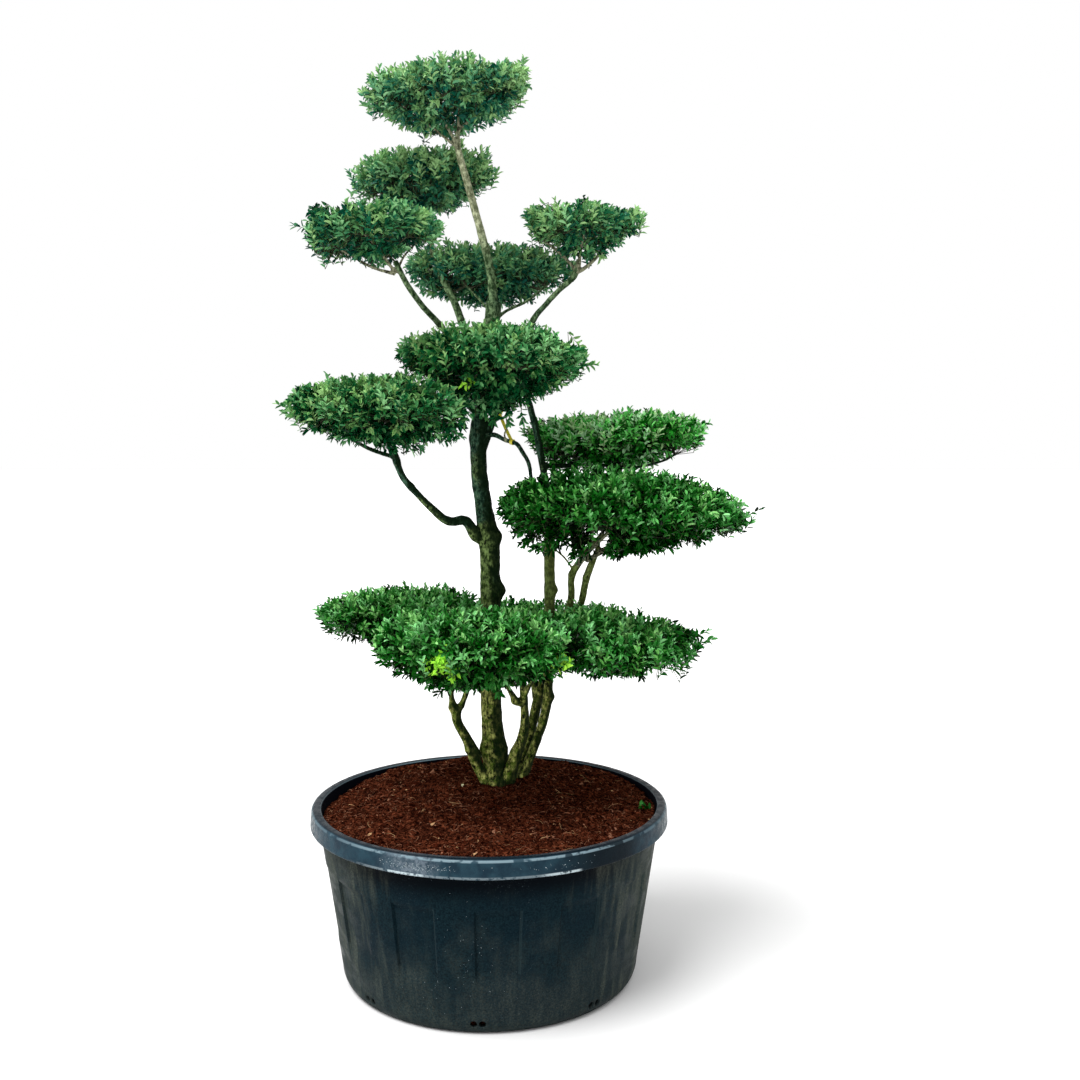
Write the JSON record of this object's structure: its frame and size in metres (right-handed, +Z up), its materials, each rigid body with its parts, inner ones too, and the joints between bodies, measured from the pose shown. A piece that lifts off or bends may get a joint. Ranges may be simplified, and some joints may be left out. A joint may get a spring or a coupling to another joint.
{
  "type": "potted japanese holly",
  "caption": "Cloud-pruned evergreen holly, its slender bare stems and boughs carrying flat-bottomed pads of small leaves, growing in a large round nursery pot.",
  "frame": {"origin": "centre of the pot's flat underside", "axes": "+Z up along the plant, +X to the viewer's right in the picture, +Y away from the viewer"},
  "size_m": [1.2098, 0.9751, 2.3558],
  "materials": {
    "bark": "thin grey-green bark with moss and pale lichen low down, tan-grey on the upper limbs",
    "foliage": "small glossy leaves, dark blue-green with fresh lighter tips",
    "pot": "black nursery plastic, satin, wet and grimy in places",
    "soil": "coarse red-brown coconut fibre and bark",
    "tie": "thin yellow plastic strap"
  },
  "bodies": {
    "root": {"bough_behind_left": "bark", "bough_behind_right": "bark", "bough_drooping": "bark", "bough_left": "bark", "bough_low_back": "bark", "bough_low_right": "bark", "bough_middle_back": "bark", "bough_right_back": "bark", "bough_upper_back": "bark", "bough_upper_left": "bark", "bough_upper_right": "bark", "cloud_behind_leader": "foliage", "cloud_left": "foliage", "cloud_low_back": "foliage", "cloud_low_front": "foliage", "cloud_low_left": "foliage", "cloud_low_right": "foliage", "cloud_middle": "foliage", "cloud_middle_back": "foliage", "cloud_right": "foliage", "cloud_right_back": "foliage", "cloud_top": "foliage", "cloud_upper_back": "foliage", "cloud_upper_left": "foliage", "cloud_upper_right": "foliage", "fork_left_inner": "bark", "fork_left_outer": "bark", "leader": "bark", "pot": "pot", "soil": "soil", "stem_back": "bark", "stem_front": "bark", "stem_inner": "bark", "stem_left": "bark", "stem_right": "bark", "tie": "tie", "trunk": "bark"}
  },
  "joints": []
}
